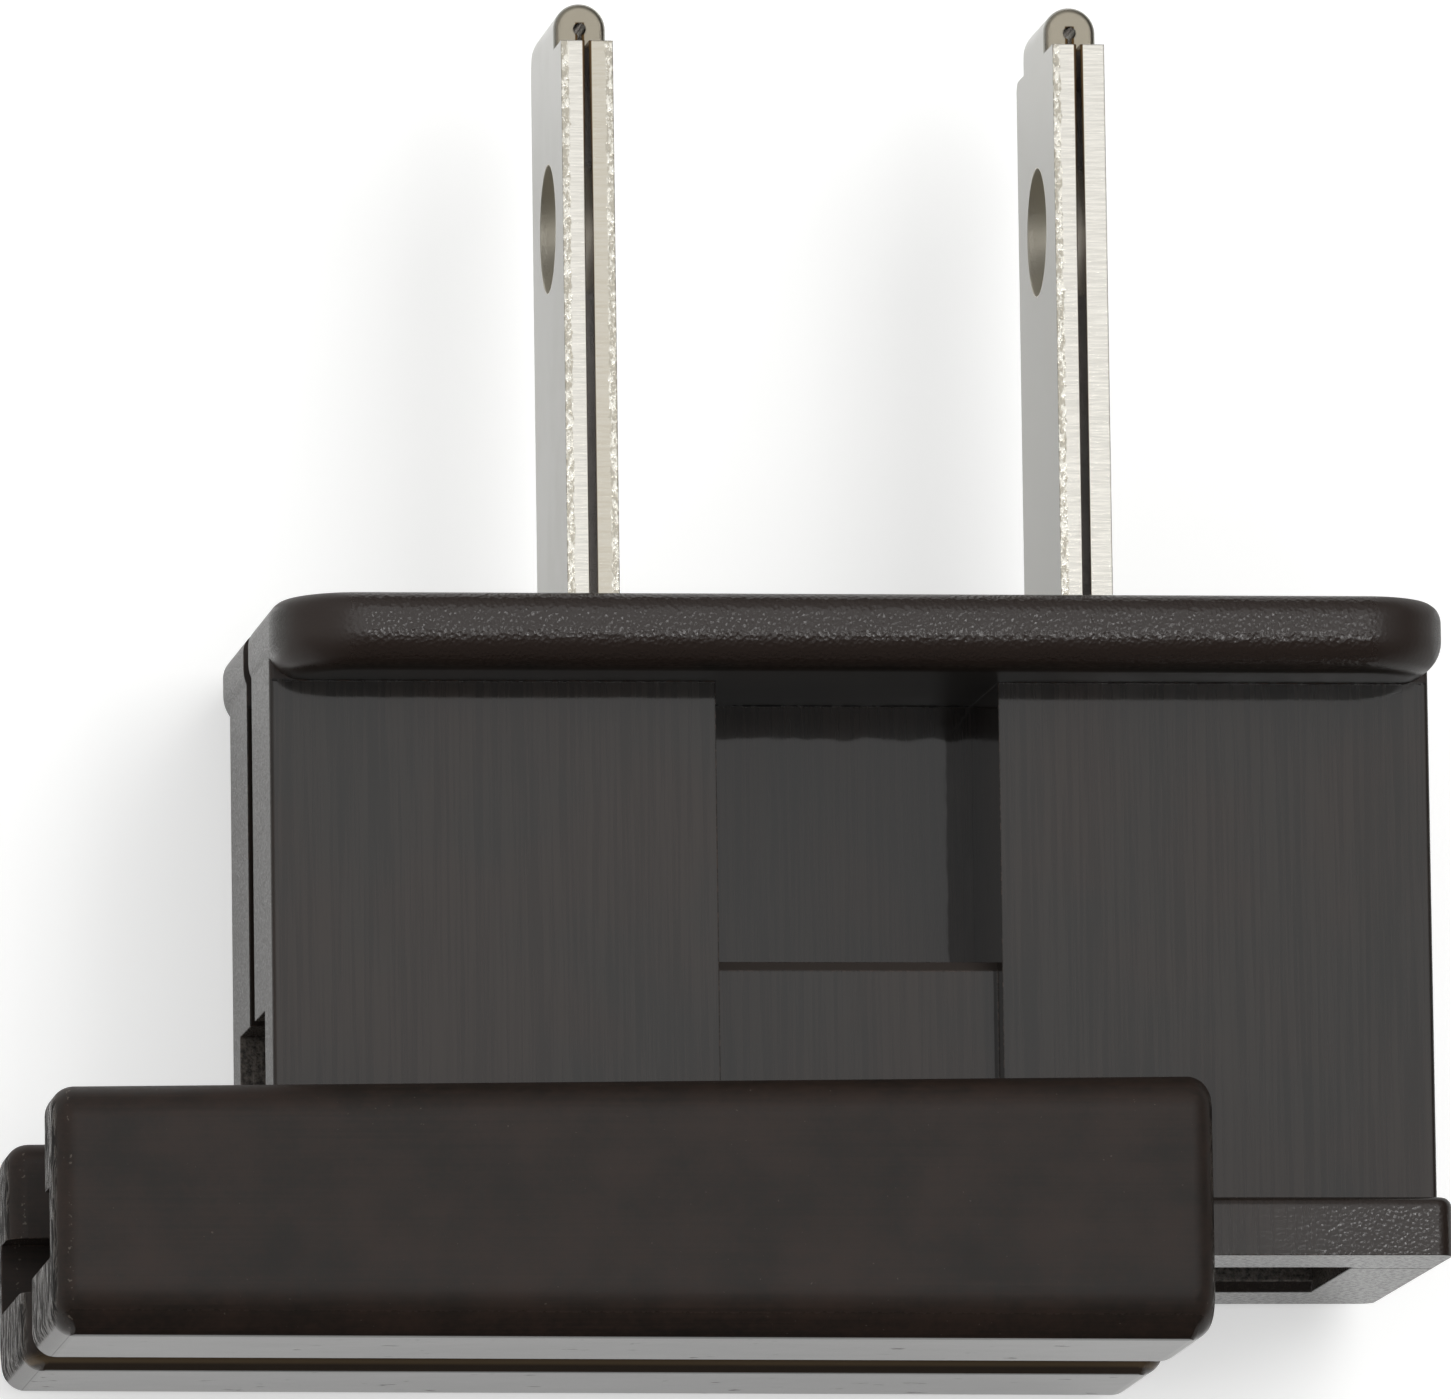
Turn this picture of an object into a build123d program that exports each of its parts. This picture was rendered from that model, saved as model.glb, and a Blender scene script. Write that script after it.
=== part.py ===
"""Slide-on two-blade cord plug, in millimetres.

The plug lies on its back: X runs along the plug's length, which is the way its cover slides,
Y points out of the face along the blades, and Z points up, away from the surface it lies on.
The origin is on the face, midway between the blades and midway through the plug's depth.
"""

import os

from build123d import *

# Blades: one strip folded double, with a narrower neck at the fold
blade_spacing = 12.7
blade_width = 6.35
blade_reach = 16.0
leaf_thickness = 0.57
leaf_gap = 0.2
fold_gap = 0.1
fold_relief = 0.32
neck_height = 1.2
near_setback = 1.45
left_far_setback = 0.0
right_far_setback = 1.3
left_far_radius = 1.3
right_far_radius = 0.9
shoulder_radius = 0.3
nose_edge_radius = 0.15
hole_diameter = 3.3
hole_height = 10.4
tooth_reach = 2.75
tooth_width = 2.4
conductor_spacing = 2.8

# Notches in the blade's edges that keep it from being pulled out
key_drop = 5.4
key_height = 1.4
key_depth = 0.6
blade_clearance = 0.05

# Moulded body: flanged face, block and rail
plug_length = 30.0
plug_depth = 15.4
flange_thickness = 1.92
flange_corner_radius = 2.2
flange_upper_radius = 0.5
flange_lower_radius = 0.95
flange_offset = 0.065
body_inset = 0.14
body_depth = 9.6
body_height = 14.8
body_edge_radius = 0.12
rail_depth = 12.8
rail_height = 1.5
rail_end_radius = 0.4
rail_top_radius = 0.25

# Recess in the middle of the front and of the back, parted by a web on the rear half
recess_width = 7.25
recess_height = 7.05
recess_offset = 0.15
recess_web = 0.8
panel_setback = 0.8
panel_chamfer = 0.25

# Channel that takes a flat two-core cord from the left
channel_width = 6.0
channel_height = 6.58
channel_lead_in = 0.3
end_wall = 2.1

# Parting of the two halves
seam_width = 1.2
seam_depth = 0.8
peg_diameter = 1.8
peg_length = 1.6
peg_spacing = 21.6
peg_drop = 5.4
joint_clearance = 0.05

# Sliding cover
cover_shortfall = 0.55
cover_floor = 2.05
cover_lip = 2.62
cover_upper_draft = 0.28
cover_lower_draft = 0.15
cover_upper_radius = 0.9
cover_lower_radius = 1.25
cover_end_radius = 0.6
lip_entry_radius = 0.55
cover_open = 6.0
cover_rock = 0.8
slide_clearance = 0.15
slot_width = 1.8
slot_flare_radius = 0.8
cord_thickness = 2.9
rib_clearance = 0.25
rib_start = 4.0
rib_roof = 1.2
rib_ramp = 2.4

# Levels along the blades, measured from the face
flange_bottom = -flange_thickness
foot_bottom = flange_bottom - body_height
rail_top = foot_bottom + rail_height
channel_top = foot_bottom + channel_height
recess_bottom = flange_bottom - recess_height
rail_middle = (rail_top + foot_bottom) / 2

# Sizes that follow from the blades
blade_thickness = 2 * leaf_thickness + leaf_gap
fold_radius = blade_thickness / 2
fold_centre = blade_reach - fold_radius
shoulder_level = blade_reach - neck_height
blade_slot_width = blade_width + 2 * blade_clearance
blade_slot_thickness = blade_thickness + 2 * blade_clearance

# Levels and places of the cover where it stands, part of the way open
lip_bottom = rail_top + slide_clearance
lip_top = lip_bottom + cover_lip
floor_top = foot_bottom - slide_clearance
floor_bottom = floor_top - cover_floor
cover_length = plug_length - cover_shortfall
cover_left = -cover_length / 2 - cover_open
cover_right = cover_left + cover_length
rib_top = channel_top - cord_thickness
rib_width = channel_width - 2 * rib_clearance
rib_left = cover_left + rib_start
rib_right = plug_length / 2 - end_wall - rib_clearance - cover_open


def blade(side, tooth_side, far_setback, far_radius):
    """One folded blade at side times half the spacing, with its tooth over one conductor."""
    blade_x = side * blade_spacing / 2
    leaf_height = fold_centre - channel_top
    with BuildPart() as folded:
        # Strip with a full round fold at its top
        with BuildSketch(Plane.XY.offset(-blade_width / 2)):
            with Locations((blade_x, channel_top + leaf_height / 2)):
                Rectangle(blade_thickness, leaf_height)
            with Locations((blade_x, fold_centre)):
                Circle(fold_radius)
        extrude(amount=blade_width)

        # Wide face: shoulders beside the neck, notches that the body holds, and the hole
        near_edge = blade_width / 2 - near_setback
        far_edge = far_setback - blade_width / 2
        with BuildSketch(Plane.YZ.offset(blade_x)) as outline:
            with Locations(((channel_top + shoulder_level) / 2, 0)):
                Rectangle(shoulder_level - channel_top, blade_width)
            with Locations((shoulder_level, (near_edge + far_edge) / 2)):
                Rectangle(2 * neck_height, near_edge - far_edge)
            far_corner = outline.vertices().group_by(Axis.X)[-1].sort_by(Axis.Y)[0]
            near_shoulder = outline.vertices().group_by(Axis.Y)[-1].sort_by(Axis.X)[-1]
            fillet(far_corner, far_radius)
            fillet(near_shoulder, shoulder_radius)
            if far_setback > 0:
                far_shoulder = outline.vertices().group_by(Axis.Y)[0].sort_by(Axis.X)[-1]
                fillet(far_shoulder, shoulder_radius)
            with Locations((-key_drop, blade_width / 2), (-key_drop, -blade_width / 2)):
                Rectangle(key_height, 2 * key_depth, mode=Mode.SUBTRACT)
            with Locations((hole_height, 0)):
                Circle(hole_diameter / 2, mode=Mode.SUBTRACT)
        extrude(amount=blade_thickness, both=True, mode=Mode.INTERSECT)

        # Rounded rim where the fold ends, short of the strip's near edge
        nose_end = folded.faces().filter_by(Axis.Z).sort_by(Axis.Y)[-1]
        fillet(nose_end.edges().filter_by(Axis.X, reverse=True), nose_edge_radius)

        # Gap between the two leaves, with a relief inside the fold
        with BuildSketch(Plane.XY.offset(-blade_width / 2)):
            with BuildLine():
                Polyline(
                    (blade_x - leaf_gap / 2, channel_top),
                    (blade_x + leaf_gap / 2, channel_top),
                    (blade_x + leaf_gap / 2, hole_height),
                    (blade_x + fold_gap / 2, fold_centre),
                    (blade_x - fold_gap / 2, fold_centre),
                    (blade_x - leaf_gap / 2, hole_height),
                    close=True,
                )
            make_face()
            with Locations((blade_x, fold_centre)):
                Circle(fold_relief / 2)
        extrude(amount=blade_width, mode=Mode.SUBTRACT)

        # Piercing tooth on the leaf that faces the middle of the plug
        leaf_middle = blade_x - side * (leaf_gap + leaf_thickness) / 2
        tooth_middle = tooth_side * conductor_spacing / 2
        with BuildSketch(Plane.YZ.offset(leaf_middle)):
            with BuildLine():
                Polyline(
                    (channel_top + tooth_width / 2, tooth_middle - tooth_width / 2),
                    (channel_top, tooth_middle - tooth_width / 2),
                    (channel_top - tooth_reach, tooth_middle),
                    (channel_top, tooth_middle + tooth_width / 2),
                    (channel_top + tooth_width / 2, tooth_middle + tooth_width / 2),
                    close=True,
                )
            make_face()
        extrude(amount=leaf_thickness / 2, both=True)
    return folded.part


# Whole moulding, before it is parted into its two halves
with BuildPart() as moulding:
    # Flanged face with rounded corners and edges
    with BuildSketch(Plane.XZ):
        with Locations((flange_offset, 0)):
            RectangleRounded(plug_length, plug_depth, flange_corner_radius)
    extrude(amount=flange_thickness)
    fillet(moulding.faces().sort_by(Axis.Y)[-1].edges(), flange_upper_radius)
    fillet(moulding.faces().sort_by(Axis.Y)[0].edges(), flange_lower_radius)

    # Rail along the cord side, rounded at its ends
    with BuildSketch(Plane.XZ.offset(-rail_top)) as rail_outline:
        Rectangle(plug_length, rail_depth)
        fillet(rail_outline.vertices(), rail_end_radius)
    extrude(amount=rail_height)
    rail_face = moulding.faces().filter_by(Axis.Y).sort_by(Axis.Y)[1]
    fillet(rail_face.edges(), rail_top_radius)

    # Block from inside the flange down to the foot of the rail
    with BuildSketch(Plane.XZ.offset(flange_upper_radius)):
        RectangleRounded(plug_length - 2 * body_inset, body_depth, body_edge_radius)
    extrude(amount=-foot_bottom - flange_upper_radius)

    # Deep recess under the flange and the shallow panel below it, front and back
    for face_side, recess_floor in ((1, 0), (-1, recess_web)):
        with BuildSketch(Plane.XY.offset(face_side * body_depth / 2)):
            with Locations((recess_offset, (flange_bottom + recess_bottom) / 2)):
                Rectangle(recess_width, recess_height)
        extrude(amount=-face_side * (body_depth / 2 - recess_floor), mode=Mode.SUBTRACT)
        with BuildSketch(Plane.XY.offset(face_side * body_depth / 2)):
            with Locations((recess_offset, (recess_bottom + rail_top) / 2)):
                Rectangle(recess_width, recess_bottom - rail_top)
        extrude(amount=-face_side * panel_setback, mode=Mode.SUBTRACT)
    cross_edges = moulding.edges().filter_by(Axis.X)
    step_edges = cross_edges.filter_by(lambda e: abs(e.center().Y - recess_bottom) < 0.01)
    chamfer(step_edges.group_by(Axis.Z)[0] + step_edges.group_by(Axis.Z)[-1], panel_chamfer)

    # Cord channel, open at the left end, with a lead-in along its mouth
    channel_length = plug_length - end_wall
    with BuildSketch(Plane.XZ.offset(-channel_top)):
        with Locations((-end_wall / 2, 0)):
            Rectangle(channel_length, channel_width)
    extrude(amount=channel_height, mode=Mode.SUBTRACT)
    long_edges = moulding.faces().sort_by(Axis.Y)[0].edges().filter_by(Axis.X)
    mouth_limit = (channel_width + rail_depth) / 4
    chamfer(long_edges.filter_by(lambda e: abs(e.center().Z) < mouth_limit), channel_lead_in)

    # Slots for the blades, with the keys that fill the blades' notches
    for side in (1, -1):
        with BuildSketch(Plane.XZ):
            with Locations((side * blade_spacing / 2, 0)):
                Rectangle(blade_slot_thickness, blade_slot_width)
        extrude(amount=-channel_top, mode=Mode.SUBTRACT)
        key_middle = (blade_slot_width - key_depth) / 2
        for key_side in (1, -1):
            with Locations((side * blade_spacing / 2, -key_drop, key_side * key_middle)):
                Box(blade_slot_thickness, key_height - 2 * blade_clearance, key_depth)

    # Groove along the joint at the open end, from the face to the channel
    with BuildSketch(Plane.XZ):
        with Locations((-plug_length / 2, 0)):
            Rectangle(2 * seam_depth, seam_width)
    extrude(amount=-channel_top, mode=Mode.SUBTRACT)

# Part of the end wall that the rear half carries as a tongue, and the space for it in the front half
tongue_middle = (plug_length - end_wall) / 2
tongue_level = (channel_top + foot_bottom) / 2
with BuildPart() as tongue:
    add(moulding.part)
    with Locations((tongue_middle, tongue_level - joint_clearance, -joint_clearance)):
        Box(end_wall, channel_height, channel_width, mode=Mode.INTERSECT)

# Front half: socketed for the pegs and open at the right for the tongue
with BuildPart() as body_front:
    add(moulding.part)
    split(bisect_by=Plane.XY, keep=Keep.TOP)
    with Locations((tongue_middle, tongue_level, 0)):
        Box(end_wall, channel_height, channel_width, mode=Mode.SUBTRACT)
    with BuildSketch(Plane.XY):
        with Locations((-peg_spacing / 2, -peg_drop), (peg_spacing / 2, -peg_drop)):
            Circle(peg_diameter / 2 + joint_clearance)
    extrude(amount=peg_length + joint_clearance, mode=Mode.SUBTRACT)

# Rear half: carries the pegs and the tongue that closes the channel
with BuildPart() as body_rear:
    add(moulding.part)
    split(bisect_by=Plane.XY, keep=Keep.BOTTOM)
    add(tongue.part)
    with BuildSketch(Plane.XY):
        with Locations((-peg_spacing / 2, -peg_drop), (peg_spacing / 2, -peg_drop)):
            Circle(peg_diameter / 2)
    extrude(amount=peg_length)

# Blades, with a tooth over each conductor of the cord
with BuildPart() as left_blade:
    add(blade(-1, 1, left_far_setback, left_far_radius))

with BuildPart() as right_blade:
    add(blade(1, -1, right_far_setback, right_far_radius))

# Cover, level on its rail: a block a little taller towards the right, hollowed to run on the rail
with BuildPart() as level_cover:
    with BuildSketch(Plane.XY):
        with BuildLine():
            Polyline(
                (cover_left, floor_bottom + cover_lower_draft / 2),
                (cover_right, floor_bottom - cover_lower_draft / 2),
                (cover_right, lip_top + cover_upper_draft / 2),
                (cover_left, lip_top - cover_upper_draft / 2),
                close=True,
            )
        make_face()
    extrude(amount=plug_depth / 2, both=True)
    lower_edges = level_cover.faces().sort_by(Axis.Y)[0].edges().sort_by(SortBy.LENGTH)[-2:]
    fillet(lower_edges, cover_lower_radius)
    upper_edges = level_cover.faces().sort_by(Axis.Y)[-1].edges().sort_by(SortBy.LENGTH)[-2:]
    fillet(upper_edges, cover_upper_radius)
    fillet(level_cover.faces().filter_by(Axis.X).edges(), cover_end_radius)

    # Guide for the body and its rail, open along the top and at both ends, with rounded entries
    with BuildSketch(Plane.YZ.offset(cover_left)):
        with Locations((lip_bottom + cover_lip, 0)):
            Rectangle(2 * cover_lip, body_depth + 2 * slide_clearance)
        with Locations(((lip_bottom + floor_top) / 2, 0)):
            Rectangle(lip_bottom - floor_top, rail_depth + 2 * slide_clearance)
    extrude(amount=cover_length, mode=Mode.SUBTRACT)
    entry_reach = body_depth / 2 + 2 * slide_clearance
    entry_edges = level_cover.edges().filter_by(Axis.Y)
    fillet(entry_edges.filter_by(lambda e: abs(e.center().Z) < entry_reach), lip_entry_radius)

    # Rib that presses the cord against the blades' teeth, ramped where it enters the channel
    with BuildSketch(Plane.XY):
        with BuildLine():
            Polyline(
                (rib_left, floor_top),
                (rib_right, floor_top),
                (rib_right, rib_top - rib_ramp / 2),
                (rib_right - rib_ramp, rib_top),
                (rib_left, rib_top),
                close=True,
            )
        make_face()
    extrude(amount=rib_width / 2, both=True)

    # Slot along the floor that cores out the rib and flares at the open end
    with BuildSketch(Plane.XZ.offset(-floor_bottom + cover_lower_draft)):
        with Locations(((cover_left + cover_right) / 2, 0)):
            Rectangle(cover_length, slot_width)
    extrude(amount=-(rib_top - rib_roof - floor_bottom + cover_lower_draft), mode=Mode.SUBTRACT)
    left_corners = level_cover.edges().filter_by(Axis.Y).group_by(Axis.X)[0]
    fillet(left_corners.filter_by(lambda e: abs(e.center().Z) < slot_width), slot_flare_radius)

# Cover where it stands, rocked a little on the rail within its play
with BuildPart() as slide_cover:
    add(level_cover.part.rotate(Axis((0, rail_middle, 0), (1, 0, 0)), -cover_rock))

os.makedirs("parts", exist_ok=True)
body_front.part.label = "body_front"
body_rear.part.label = "body_rear"
left_blade.part.label = "left_blade"
right_blade.part.label = "right_blade"
slide_cover.part.label = "slide_cover"
export_step(body_front.part, "parts/body_front.step")
export_step(body_rear.part, "parts/body_rear.step")
export_step(left_blade.part, "parts/left_blade.step")
export_step(right_blade.part, "parts/right_blade.step")
export_step(slide_cover.part, "parts/slide_cover.step")
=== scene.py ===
import math
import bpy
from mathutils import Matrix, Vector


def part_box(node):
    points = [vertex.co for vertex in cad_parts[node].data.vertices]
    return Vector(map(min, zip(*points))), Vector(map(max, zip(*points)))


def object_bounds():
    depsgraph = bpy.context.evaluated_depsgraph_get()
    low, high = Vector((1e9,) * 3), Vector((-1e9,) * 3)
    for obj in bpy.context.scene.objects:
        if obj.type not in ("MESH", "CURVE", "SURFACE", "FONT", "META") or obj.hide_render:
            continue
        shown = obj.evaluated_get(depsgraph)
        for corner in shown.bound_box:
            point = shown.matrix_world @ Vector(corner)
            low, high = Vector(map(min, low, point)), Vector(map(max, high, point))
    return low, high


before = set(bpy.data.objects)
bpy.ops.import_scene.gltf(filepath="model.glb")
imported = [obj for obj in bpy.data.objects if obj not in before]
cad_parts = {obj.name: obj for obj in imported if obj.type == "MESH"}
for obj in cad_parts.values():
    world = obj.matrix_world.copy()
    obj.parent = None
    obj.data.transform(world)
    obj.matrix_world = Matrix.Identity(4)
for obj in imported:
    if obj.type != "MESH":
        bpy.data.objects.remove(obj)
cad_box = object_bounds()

from types import SimpleNamespace

import bpy
from mathutils import Vector

MM = 0.001

# Sizes of the body that its finish follows, in millimetres
FLANGE_BOTTOM = -1.92
BODY_DEPTH = 9.6
END_LEVEL = 14.86
RAIL_HEIGHT = 1.5
RAIL_GRAIN_START = 9.0
RAIL_GRAIN_FULL = 13.5
PANEL_TOP = -8.5
PANEL_HALF_WIDTH = 3.9
CHANNEL_TOP = -10.14
CHANNEL_HALF_WIDTH = 3.0

# Sizes of the cover: reach of the painted sheen on the slot's rounded edges, and the rows of specks
# beside the left end that paint a highlight line
SLOT_REACH = 1.7
HIGHLIGHT_SPECK_SETBACK = 0.42

# Part of a lip's held normal that leans down, and part that leans out, for a slope of 45 degrees
LIP_SLOPE = 0.707

# Sizes of the blades
BLADE_SPACING = 12.7
LEAF_GAP = 0.2
LEAF_MIDDLE = 0.4
LEAF_HALF_WIDTH = 0.3
BURR_START = 0.45
SHOULDER_LEVEL = 14.8
FOLD_LEVEL = 15.33
HOLE_HEIGHT = 10.4
HOLE_RADIUS = 1.65

# Camera that took the photograph: place in millimetres, turns in radians
CAMERA_PLACE = (-65.298, -62.873, 470.985)
CAMERA_PAN = -0.13238
CAMERA_TILT = 0.12791
CAMERA_ROLL = -0.01361
SENSOR_WIDTH = 36.0
CAMERA_LENS = 463.6

# Floor: half of its side in metres, and the stretch under the plug that its gloss mirrors, where the
# floor glows for reflected rays as painted light, in millimetres
FLOOR_HALF = 1.5
MIRRORED_MIDDLE = -4.0
MIRRORED_INNER = 12.0
MIRRORED_OUTER = 26.0
REFLECTED_GLOW_SHARE = 0.65


def srgb(red, green, blue):
    """A colour given as 0 to 255 screen values, in the linear values that shaders take."""
    def linear(value):
        value /= 255
        return value / 12.92 if value <= 0.04045 else ((value + 0.055) / 1.055) ** 2.4
    return (linear(red), linear(green), linear(blue), 1.0)


# Colours of the body
BODY_BROWN = srgb(39, 31, 27)
BODY_GREY = srgb(31, 29, 27)
BODY_END = srgb(42, 38, 35)
BODY_DUST = srgb(100, 93, 86)
LINE_DARK = srgb(22, 20, 18)
LINE_PALE = srgb(46, 41, 37)
PANEL_EDGE_HIGHLIGHT = srgb(58, 53, 50)
JOINT_DARK = srgb(14, 11, 10)
WORN_EDGE = srgb(92, 74, 64)

# Colours of the cover
COVER_DARK = srgb(30, 26, 23)
COVER_PALE = srgb(45, 35, 30)
COVER_SPECK_HIGHLIGHT = srgb(104, 96, 88)
TEAR_DARK = srgb(18, 15, 13)
TEAR_PALE = srgb(64, 58, 52)
SLOT_SHEEN_BROWN = srgb(54, 46, 39)
SLOT_HIGHLIGHT_GOLD = srgb(92, 78, 60)

# Colours of the blades
PLATING_DARK = srgb(158, 157, 150)
PLATING_PALE = srgb(168, 167, 160)
SHEARED_DARK = srgb(210, 207, 199)
SHEARED_PALE = srgb(228, 225, 217)
TARNISH = srgb(190, 184, 170)
BURR_DARK = srgb(176, 171, 158)
BURR_PALE = srgb(228, 225, 215)
NOSE_GREY = srgb(160, 153, 138)
HOLE_PALE = srgb(216, 211, 198)
GAP_BROWN_SHADED = srgb(84, 64, 38)

# Colours of the floor
FLOOR_DARK = (0.69, 0.69, 0.68, 1)
FLOOR_PALE = (0.71, 0.71, 0.70, 1)
WHITE = (1, 1, 1, 1)


class Finish:
    """A material's node tree, with short calls for the nodes that these finishes use."""

    def __init__(self, name):
        self.material = bpy.data.materials.new(name)
        self.material.use_nodes = True
        self.tree = self.material.node_tree
        self.shader = self.tree.nodes["Principled BSDF"]

    def node(self, kind, **settings):
        made = self.tree.nodes.new(kind)
        for key, value in settings.items():
            setattr(made, key, value)
        return made

    def feed(self, socket, value):
        """Links a socket, or sets a number or colour on it."""
        if isinstance(value, bpy.types.NodeSocket):
            self.tree.links.new(value, socket)
        else:
            socket.default_value = value

    def set(self, name, value):
        """Gives the shader's input of that name a link, a number or a colour."""
        self.feed(self.shader.inputs[name], value)

    def millimetres(self):
        """The surface point in the part's own frame, in millimetres."""
        place = self.node("ShaderNodeTexCoord").outputs["Object"]
        scale = self.node("ShaderNodeVectorMath", operation="SCALE")
        self.feed(scale.inputs[0], place)
        scale.inputs["Scale"].default_value = 1 / MM
        return scale.outputs[0]

    def axes(self, vector):
        parts = self.node("ShaderNodeSeparateXYZ")
        self.feed(parts.inputs[0], vector)
        return parts.outputs

    def normal(self):
        return self.node("ShaderNodeNewGeometry").outputs["Normal"]

    def stretch(self, vector, factors):
        product = self.node("ShaderNodeVectorMath", operation="MULTIPLY")
        self.feed(product.inputs[0], vector)
        product.inputs[1].default_value = factors
        return product.outputs[0]

    def noise(self, vector, scale, detail=3.0, roughness=0.55, distortion=0.0):
        made = self.node("ShaderNodeTexNoise")
        self.feed(made.inputs["Vector"], vector)
        made.inputs["Scale"].default_value = scale
        made.inputs["Detail"].default_value = detail
        made.inputs["Roughness"].default_value = roughness
        made.inputs["Distortion"].default_value = distortion
        return made.outputs["Fac"]

    def cells(self, vector, scale):
        """Small rounded pits, packed close together: 0 at the middle of each."""
        made = self.node("ShaderNodeTexVoronoi", feature="SMOOTH_F1")
        self.feed(made.inputs["Vector"], vector)
        made.inputs["Scale"].default_value = scale
        made.inputs["Smoothness"].default_value = 0.3
        return made.outputs["Distance"]

    def math(self, operation, a, b=0.0):
        made = self.node("ShaderNodeMath", operation=operation)
        self.feed(made.inputs[0], a)
        self.feed(made.inputs[1], b)
        return made.outputs[0]

    def size(self, value):
        """A value without its sign."""
        return self.math("ABSOLUTE", value)

    def distance(self, value, level):
        """How far a value is from a level, either way."""
        return self.size(self.math("SUBTRACT", value, level))

    def both(self, *masks):
        """1 where every mask is 1: the product of masks and shares."""
        product = masks[0]
        for mask in masks[1:]:
            product = self.math("MULTIPLY", product, mask)
        return product

    def either(self, *masks):
        """1 where any of the masks is 1."""
        largest = masks[0]
        for mask in masks[1:]:
            largest = self.math("MAXIMUM", largest, mask)
        return largest

    def outside(self, mask):
        return self.math("SUBTRACT", 1.0, mask)

    def ramp(self, value, low, high, to_low=0.0, to_high=1.0):
        made = self.node("ShaderNodeMapRange", interpolation_type="SMOOTHSTEP")
        self.feed(made.inputs["Value"], value)
        made.inputs["From Min"].default_value = low
        made.inputs["From Max"].default_value = high
        made.inputs["To Min"].default_value = to_low
        made.inputs["To Max"].default_value = to_high
        return made.outputs["Result"]

    def mix(self, factor, a, b):
        made = self.node("ShaderNodeMix", data_type="FLOAT")
        self.feed(made.inputs[0], factor)
        self.feed(made.inputs[2], a)
        self.feed(made.inputs[3], b)
        return made.outputs[0]

    def mix_vector(self, factor, a, b):
        made = self.node("ShaderNodeMix", data_type="VECTOR")
        self.feed(made.inputs[0], factor)
        self.feed(made.inputs[4], a)
        self.feed(made.inputs[5], b)
        return made.outputs[1]

    def mix_colour(self, factor, a, b):
        made = self.node("ShaderNodeMix", data_type="RGBA")
        self.feed(made.inputs[0], factor)
        self.feed(made.inputs[6], a)
        self.feed(made.inputs[7], b)
        return made.outputs[2]

    def bump(self, height, distance_mm, strength=1.0, normal=None):
        made = self.node("ShaderNodeBump")
        self.feed(made.inputs["Height"], height)
        self.feed(made.inputs["Strength"], strength)
        made.inputs["Distance"].default_value = distance_mm * MM
        if normal is not None:
            self.feed(made.inputs["Normal"], normal)
        return made.outputs["Normal"]

    def edge_round(self, radius_mm):
        made = self.node("ShaderNodeBevel", samples=4)
        made.inputs["Radius"].default_value = radius_mm * MM
        return made.outputs["Normal"]

    def edge_wear(self, rounded):
        """1 on an edge and 0 on a flat or smoothly curved face."""
        likeness = self.node("ShaderNodeVectorMath", operation="DOT_PRODUCT")
        self.feed(likeness.inputs[0], rounded)
        self.feed(likeness.inputs[1], self.normal())
        return self.ramp(likeness.outputs["Value"], 0.995, 0.85)


def body_areas(f, place):
    """Masks of the body's areas, each 1 in its own area and 0 elsewhere."""
    x, y, z = f.axes(place)
    facing_x, facing_y, facing_z = f.axes(f.normal())
    body_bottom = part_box("body_front")[0].y / MM
    rail_top = body_bottom + RAIL_HEIGHT
    inset_depth = BODY_DEPTH / 2
    sideways = f.size(x)
    depth = f.size(z)
    upright = f.size(facing_z)
    front_or_back = f.ramp(upright, 0.8, 0.95)
    underneath = f.ramp(facing_y, -0.70, -0.97)

    at = SimpleNamespace()
    at.end = f.both(f.ramp(f.size(facing_x), 0.75, 0.95),
                    f.ramp(sideways, END_LEVEL - 0.6, END_LEVEL - 0.3))
    at.clear_of_end = f.ramp(sideways, END_LEVEL - 1.2, END_LEVEL - 2.2)
    at.flange = f.both(f.ramp(y, FLANGE_BOTTOM - 0.02, FLANGE_BOTTOM + 0.06),
                       f.outside(f.either(at.end, underneath)))
    at.under_flange = f.both(underneath, f.ramp(y, FLANGE_BOTTOM - 0.3, FLANGE_BOTTOM - 0.1))
    at.near_flange = f.ramp(y, FLANGE_BOTTOM - 1.3, FLANGE_BOTTOM - 0.6)
    at.sinking = f.ramp(y, FLANGE_BOTTOM + 0.3, FLANGE_BOTTOM - 0.75)
    at.joint = f.both(f.ramp(f.distance(y, FLANGE_BOTTOM), 0.05, 0.025), front_or_back)
    at.rail = f.both(f.ramp(y, rail_top + 0.05, rail_top - 0.05), f.ramp(upright, 0.6, 0.8),
                     f.ramp(x, RAIL_GRAIN_START, RAIL_GRAIN_FULL, 0.25, 0.85))
    at.rail_foot = f.both(underneath, f.ramp(y, body_bottom + 0.08, body_bottom + 0.02))
    at.grained = f.either(at.flange, at.rail)
    at.inset = f.both(f.ramp(depth, inset_depth - 0.02, inset_depth - 0.06), front_or_back)
    # The panel's top chamfer, which gets a painted highlight
    at.panel_edge = f.both(f.ramp(y, PANEL_TOP + 0.2, PANEL_TOP),
                           f.ramp(sideways, PANEL_HALF_WIDTH + 0.1, PANEL_HALF_WIDTH),
                           f.ramp(facing_y, 0.45, 0.6), f.ramp(facing_y, 0.95, 0.85))
    at.channel = f.both(f.outside(at.end),
                        f.ramp(depth, CHANNEL_HALF_WIDTH + 0.06, CHANNEL_HALF_WIDTH + 0.02),
                        f.ramp(y, CHANNEL_TOP + 0.03, CHANNEL_TOP - 0.02),
                        f.ramp(y, body_bottom + 0.02, body_bottom + 0.08))
    at.dull = f.either(at.end, at.channel)
    return at


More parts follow.
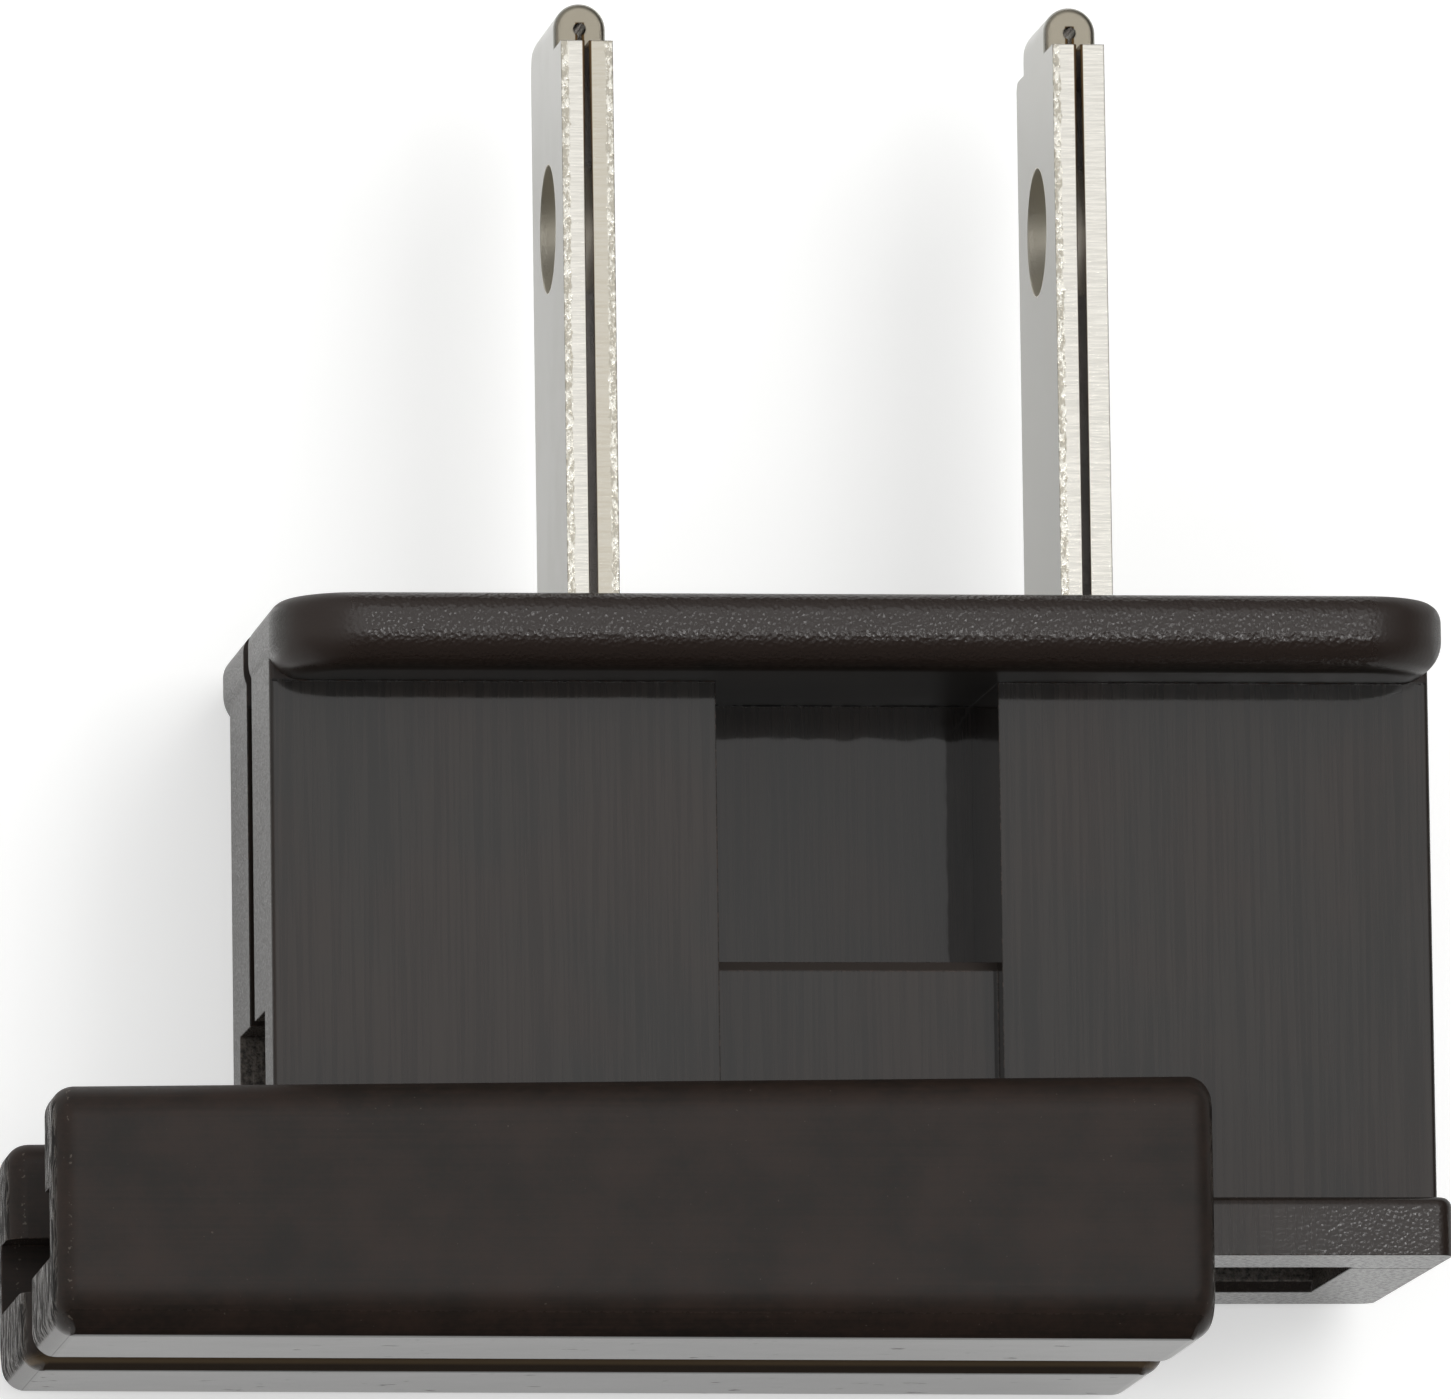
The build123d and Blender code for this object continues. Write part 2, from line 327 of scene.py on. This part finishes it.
def body_plastic():
    """Moulded brown plastic: grained flange and rail, glossy faces, duller ends and channel."""
    f = Finish("body_plastic")
    place = f.millimetres()
    at = body_areas(f, place)
    draw_lines = f.noise(f.stretch(place, (1.0, 0.02, 1.0)), 7.0, 3.0, 0.65)
    clouds = f.noise(place, 0.3, 3.0, 0.5)
    grain = f.noise(place, 18.0, 2.0, 0.6)
    fine_grain = f.noise(place, 24.0, 2.0, 0.6)
    dust = f.noise(place, 7.0, 2.0, 0.6)
    rounded = f.edge_round(0.06)
    joint = f.both(at.joint, f.ramp(dust, 0.40, 0.52))

    tint = f.mix_colour(f.ramp(clouds, 0.35, 0.65), BODY_GREY, BODY_BROWN)
    lined = f.mix_colour(f.ramp(draw_lines, 0.36, 0.62), LINE_DARK, LINE_PALE)
    colour = f.mix_colour(at.grained, f.mix_colour(0.38, tint, lined), BODY_BROWN)
    # Painted highlight on the panel's top chamfer: a paler brown in place of the light it would reflect
    colour = f.mix_colour(at.panel_edge, colour, PANEL_EDGE_HIGHLIGHT)
    colour = f.mix_colour(joint, colour, JOINT_DARK)
    colour = f.mix_colour(f.both(at.end, f.ramp(dust, 0.3, 0.7, 0.5, 1.0)), colour, BODY_END)
    dusty = f.mix_colour(f.ramp(dust, 0.3, 0.7), BODY_END, BODY_DUST)
    colour = f.mix_colour(at.channel, colour, dusty)
    wear = f.both(f.edge_wear(rounded), f.ramp(dust, 0.48, 0.62), 0.7)
    f.set("Base Color", f.mix_colour(wear, colour, WORN_EDGE))

    glossy = f.mix(at.inset, f.ramp(draw_lines, 0.3, 0.7, 0.07, 0.11), 0.05)
    roughness = f.mix(at.grained, glossy, f.ramp(fine_grain, 0.3, 0.7, 0.12, 0.24))
    roughness = f.mix(joint, roughness, 0.7)
    roughness = f.mix(f.both(at.flange, f.outside(at.clear_of_end)), roughness, 0.46)
    roughness = f.mix(at.rail_foot, roughness, f.ramp(dust, 0.35, 0.65, 0.08, 0.26))
    roughness = f.mix(at.under_flange, roughness, 0.30)
    f.set("Roughness", f.mix(at.dull, roughness, f.ramp(grain, 0.35, 0.65, 0.24, 0.42)))

    waves = f.bump(clouds, 0.05, 0.35, rounded)
    sunk = f.bump(at.sinking, 0.035, 1.0, waves)
    unlined = f.either(at.grained, at.inset, at.near_flange)
    lines = f.bump(draw_lines, 0.010, f.mix(unlined, 0.4, 0.03), sunk)
    scuffs = f.bump(f.mix(0.5, grain, draw_lines), 0.03, f.both(at.dull, 0.6), lines)
    pits = f.mix(0.4, f.cells(place, 9.0), f.noise(place, 10.0, 2.0, 0.5))
    flange_pits = f.both(at.flange, f.mix(at.clear_of_end, 0.12, 0.65))
    f.set("Normal", f.bump(pits, 0.033, f.either(flange_pits, f.both(at.rail, 0.36)), scuffs))
    return f.material


def cover_plastic():
    """The same plastic with a satin gloss, wavy tears on its ends, worn edges, and a painted sheen with a
    painted highlight line along its slot's rounded edges.
    """
    f = Finish("cover_plastic")
    place = f.millimetres()
    x, _, z = f.axes(place)
    facing_x, facing_y, facing_z = f.axes(f.normal())
    on_end = f.ramp(f.size(facing_x), 0.75, 0.95)
    below = f.ramp(facing_y, -0.3, -0.8)
    flat_below = f.ramp(facing_y, -0.97, -0.99)
    short_of_flat = f.ramp(facing_y, -0.985, -0.97)
    tears = f.noise(f.stretch(place, (1.0, 0.35, 1.6)), 2.6, 3.0, 0.55, 1.6)
    streaks = f.noise(f.stretch(place, (0.01, 1.0, 1.0)), 14.0, 4.0, 0.65)
    clouds = f.noise(place, 0.3, 3.0, 0.5)
    mottle = f.noise(place, 0.5, 4.0, 0.65)
    peel = f.noise(place, 6.0, 3.0, 0.6)
    dust = f.noise(place, 8.0, 2.0, 0.6)
    rounded = f.edge_round(0.06)

    tint = f.ramp(f.mix(0.5, f.mix(0.5, streaks, peel), mottle), 0.36, 0.64)
    colour = f.mix_colour(tint, COVER_DARK, COVER_PALE)
    # Row of pale specks beside the left end: a painted highlight line along the rounded end, with a few
    # loose specks elsewhere
    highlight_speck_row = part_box("slide_cover")[0].x / MM + HIGHLIGHT_SPECK_SETBACK
    in_row = f.ramp(f.distance(x, highlight_speck_row), 0.10, 0.04, 0.0, 0.14)
    highlight_specks = f.ramp(f.math("ADD", f.noise(place, 10.0, 1.0, 0.5), in_row), 0.76, 0.82)
    colour = f.mix_colour(f.both(highlight_specks, 0.5), colour, COVER_SPECK_HIGHLIGHT)
    torn = f.mix_colour(f.ramp(tears, 0.42, 0.58), TEAR_DARK, TEAR_PALE)
    colour = f.mix_colour(on_end, colour, torn)
    # Painted sheen along the slot's rounded edges: a paler brown, with a golden painted highlight line
    # where the round faces less steeply down
    slot_edge_sheen = f.both(f.ramp(f.size(z), SLOT_REACH + 0.05, SLOT_REACH), below, short_of_flat)
    slot_sheen_colour = f.mix_colour(f.ramp(facing_y, -0.84, -0.72), SLOT_SHEEN_BROWN, SLOT_HIGHLIGHT_GOLD)
    colour = f.mix_colour(slot_edge_sheen, colour, slot_sheen_colour)
    wear = f.both(f.edge_wear(rounded), f.ramp(dust, 0.45, 0.60), 0.6)
    f.set("Base Color", f.mix_colour(wear, colour, WORN_EDGE))

    satin = f.ramp(peel, 0.3, 0.7, 0.42, 0.50)
    polished = f.ramp(streaks, 0.35, 0.65, 0.04, 0.08)
    dashes = f.ramp(f.noise(f.stretch(place, (0.4, 1.0, 0.8)), 2.4, 3.0, 0.6), 0.66, 0.74, 0.0, 0.6)
    roughness = f.mix(f.both(flat_below, dashes), f.mix(below, satin, polished), 0.6)
    f.set("Roughness", f.mix(on_end, roughness, f.ramp(tears, 0.42, 0.58, 0.75, 0.14)))
    f.set("Specular IOR Level", 0.30)

    # The round below each lip keeps one slope up to the flat underside, which then starts at a crisp line
    slope = f.node("ShaderNodeCombineXYZ")
    f.feed(slope.inputs["Y"], -LIP_SLOPE)
    f.feed(slope.inputs["Z"], f.both(f.math("SIGN", facing_z), LIP_SLOPE))
    on_lip = f.both(f.ramp(facing_y, -0.70, -0.74), short_of_flat, f.ramp(f.size(facing_x), 0.25, 0.10))
    held = f.mix_vector(on_lip, rounded, slope.outputs[0])
    waves = f.bump(clouds, 0.05, 0.3, held)
    scuffs = f.bump(peel, 0.03, f.mix(on_end, 0.02, 0.3), waves)
    f.set("Normal", f.bump(tears, 0.25, on_end, scuffs))
    return f.material


def blade_areas(f, place):
    """Masks of the blades' areas, each 1 in its own area and 0 elsewhere."""
    x, y, z = f.axes(place)
    facing_z = f.axes(f.normal())[2]
    blade_x = BLADE_SPACING / 2
    from_middle = f.distance(f.size(x), blade_x)
    hole_level = f.math("SUBTRACT", y, HOLE_HEIGHT)
    from_hole = f.math("SQRT", f.math("ADD", f.both(z, z), f.both(hole_level, hole_level)))
    wobble = f.math("SUBTRACT", f.noise(place, 3.5, 3.0, 0.6), 0.5)
    from_middle_wavy = f.math("ADD", from_middle, f.both(wobble, 0.2))

    at = SimpleNamespace()
    at.edge = f.ramp(f.size(facing_z), 0.6, 0.9)
    at.nose = f.both(at.edge, f.ramp(y, SHOULDER_LEVEL + 0.02, SHOULDER_LEVEL + 0.06))
    at.hole = f.ramp(from_hole, HOLE_RADIUS + 0.04, HOLE_RADIUS + 0.01)
    at.burr = f.both(at.edge, f.ramp(from_middle_wavy, BURR_START, BURR_START + 0.04),
                     f.outside(f.ramp(x, blade_x, blade_x + 0.05)))
    at.gap = f.both(f.ramp(from_middle, LEAF_GAP / 2 + 0.03, LEAF_GAP / 2 + 0.005),
                    f.ramp(y, FOLD_LEVEL + 0.2, FOLD_LEVEL + 0.15))
    at.tarnished_leaf = f.both(at.edge, f.ramp(f.distance(x, LEAF_MIDDLE - blade_x),
                                               LEAF_HALF_WIDTH + 0.04, LEAF_HALF_WIDTH))
    return at


def blade_plating():
    """Nickel-plated brass strip: bright faces, sheared edges with a burr along their outer side."""
    f = Finish("blade_plating")
    place = f.millimetres()
    at = blade_areas(f, place)
    shear_lines = f.noise(f.stretch(place, (0.06, 1.0, 0.3)), 18.0, 4.0, 0.7)
    clouds = f.noise(place, 0.5, 3.0, 0.5)
    grit = f.noise(f.stretch(place, (1.0, 0.6, 1.0)), 9.0, 3.0, 0.6)
    rounded = f.edge_round(0.05)

    plating = f.mix_colour(f.ramp(clouds, 0.35, 0.65), PLATING_DARK, PLATING_PALE)
    sheared = f.mix_colour(f.ramp(shear_lines, 0.35, 0.7), SHEARED_DARK, SHEARED_PALE)
    colour = f.mix_colour(at.edge, plating, sheared)
    tarnished = f.both(at.tarnished_leaf, f.ramp(shear_lines, 0.35, 0.65, 0.7, 1.0))
    colour = f.mix_colour(tarnished, colour, TARNISH)
    colour = f.mix_colour(at.burr, colour, f.mix_colour(f.ramp(grit, 0.42, 0.62), BURR_DARK, BURR_PALE))
    colour = f.mix_colour(at.nose, colour, NOSE_GREY)
    colour = f.mix_colour(at.hole, colour, HOLE_PALE)
    # Brown inner wall of the leaves, darkened as painted shade in the gap between them
    f.set("Base Color", f.mix_colour(at.gap, colour, GAP_BROWN_SHADED))
    f.set("Metallic", 1.0)

    face_roughness = f.ramp(clouds, 0.35, 0.65, 0.14, 0.20)
    edge_roughness = f.mix(at.nose, f.mix(at.burr, 0.14, 0.12), 0.30)
    f.set("Roughness", f.mix(at.hole, f.mix(at.edge, face_roughness, edge_roughness), 0.45))

    lines = f.bump(shear_lines, 0.006, f.both(at.edge, 0.5), rounded)
    f.set("Normal", f.bump(grit, 0.035, f.both(at.burr, 0.6), lines))
    return f.material


def floor_paint(lift):
    """Plain pale floor, which the camera sees lifted to white, shadows and all; under the plug it also
    glows for reflected rays, a painted light in the plug's reflections.
    """
    f = Finish("floor_paint")
    place = f.millimetres()
    f.set("Base Color", f.mix_colour(f.noise(place, 0.02, 2.0, 0.5), FLOOR_DARK, FLOOR_PALE))
    f.set("Roughness", 0.9)
    f.set("Specular IOR Level", 0.1)
    path = f.node("ShaderNodeLightPath").outputs
    from_plug = f.distance(f.axes(place)[0], MIRRORED_MIDDLE)
    under_plug = f.ramp(from_plug, MIRRORED_OUTER, MIRRORED_INNER)
    # Painted light: the floor under the plug glows for reflected rays, brightening the plug's reflections
    # of it
    mirrored = f.both(path["Is Glossy Ray"], under_plug, REFLECTED_GLOW_SHARE)
    f.set("Emission Color", WHITE)
    f.set("Emission Strength", f.both(f.math("ADD", path["Is Camera Ray"], mirrored), lift))
    return f.material


def dress(node_name, material):
    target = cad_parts[node_name]
    target.data.materials.clear()
    target.data.materials.append(material)


def add_floor():
    half = FLOOR_HALF
    corners = [(-half, -half, 0), (half, -half, 0), (half, half, 0), (-half, half, 0)]
    mesh = bpy.data.meshes.new("floor")
    mesh.from_pydata(corners, [], [(0, 1, 2, 3)])
    floor = bpy.data.objects.new("floor", mesh)
    floor.location.z = cad_box[0].z
    mesh.materials.append(floor_paint(lift=0.48))
    bpy.context.scene.collection.objects.link(floor)


def add_softbox(name, place_mm, size_mm, radiance, mirrored=True):
    """A square soft light that faces the plug, with its brightness given as radiance."""
    side = size_mm * MM
    lamp = bpy.data.lights.new(name, "AREA")
    lamp.shape = "SQUARE"
    lamp.size = side
    lamp.energy = radiance * math.pi * side * side
    holder = bpy.data.objects.new(name, lamp)
    holder.location = Vector(place_mm) * MM
    holder.rotation_euler = (-holder.location).to_track_quat("-Z", "Y").to_euler()
    holder.visible_glossy = mirrored
    bpy.context.scene.collection.objects.link(holder)


def add_world(brightest, low, high, backdrop):
    """Soft surroundings, bright overhead and dim low down in front; the camera sees a white backdrop."""
    world = bpy.data.worlds.new("studio")
    bpy.context.scene.world = world
    world.use_nodes = True
    tree = world.node_tree
    background = tree.nodes["Background"]
    background.inputs["Color"].default_value = WHITE
    place = tree.nodes.new("ShaderNodeTexCoord")
    nearness = tree.nodes.new("ShaderNodeVectorMath")
    nearness.operation = "DOT_PRODUCT"
    nearness.inputs[1].default_value = Vector(brightest).normalized()
    fade = tree.nodes.new("ShaderNodeMapRange")
    fade.interpolation_type = "SMOOTHSTEP"
    fade.inputs["From Min"].default_value = 0.2
    fade.inputs["From Max"].default_value = 0.95
    fade.inputs["To Min"].default_value = low
    fade.inputs["To Max"].default_value = high
    path = tree.nodes.new("ShaderNodeLightPath")
    choose = tree.nodes.new("ShaderNodeMix")
    choose.data_type = "FLOAT"
    tree.links.new(place.outputs["Generated"], nearness.inputs[0])
    tree.links.new(nearness.outputs["Value"], fade.inputs["Value"])
    tree.links.new(path.outputs["Is Camera Ray"], choose.inputs[0])
    tree.links.new(fade.outputs["Result"], choose.inputs[2])
    choose.inputs[3].default_value = backdrop
    tree.links.new(choose.outputs[0], background.inputs["Strength"])


def add_camera():
    lens = bpy.data.cameras.new("camera")
    lens.sensor_fit = "HORIZONTAL"
    lens.sensor_width = SENSOR_WIDTH
    lens.lens = CAMERA_LENS
    lens.clip_start = 0.01
    lens.clip_end = 10
    camera = bpy.data.objects.new("camera", lens)
    camera.location = Vector(CAMERA_PLACE) * MM
    camera.rotation_mode = "ZXY"
    camera.rotation_euler = (CAMERA_TILT, CAMERA_PAN, CAMERA_ROLL)
    bpy.context.scene.collection.objects.link(camera)
    bpy.context.scene.camera = camera


bpy.context.scene.view_settings.view_transform = "Standard"

body_finish = body_plastic()
blade_finish = blade_plating()
dress("body_front", body_finish)
dress("body_rear", body_finish)
dress("left_blade", blade_finish)
dress("right_blade", blade_finish)
dress("slide_cover", cover_plastic())

add_floor()
add_softbox("overhead", (40, 60, 560), 430, 0.67)
add_softbox("sparkle", (130, -40, 530), 60, 10.0)
add_softbox("key", (220, 160, 460), 400, 3.0, mirrored=False)
add_softbox("side", (-440, -20, 90), 300, 3.6, mirrored=False)
add_softbox("front", (60, -420, 260), 300, 0.8, mirrored=False)
add_world(brightest=(-0.35, 0.45, 0.82), low=0.06, high=0.5, backdrop=1.0)
add_camera()
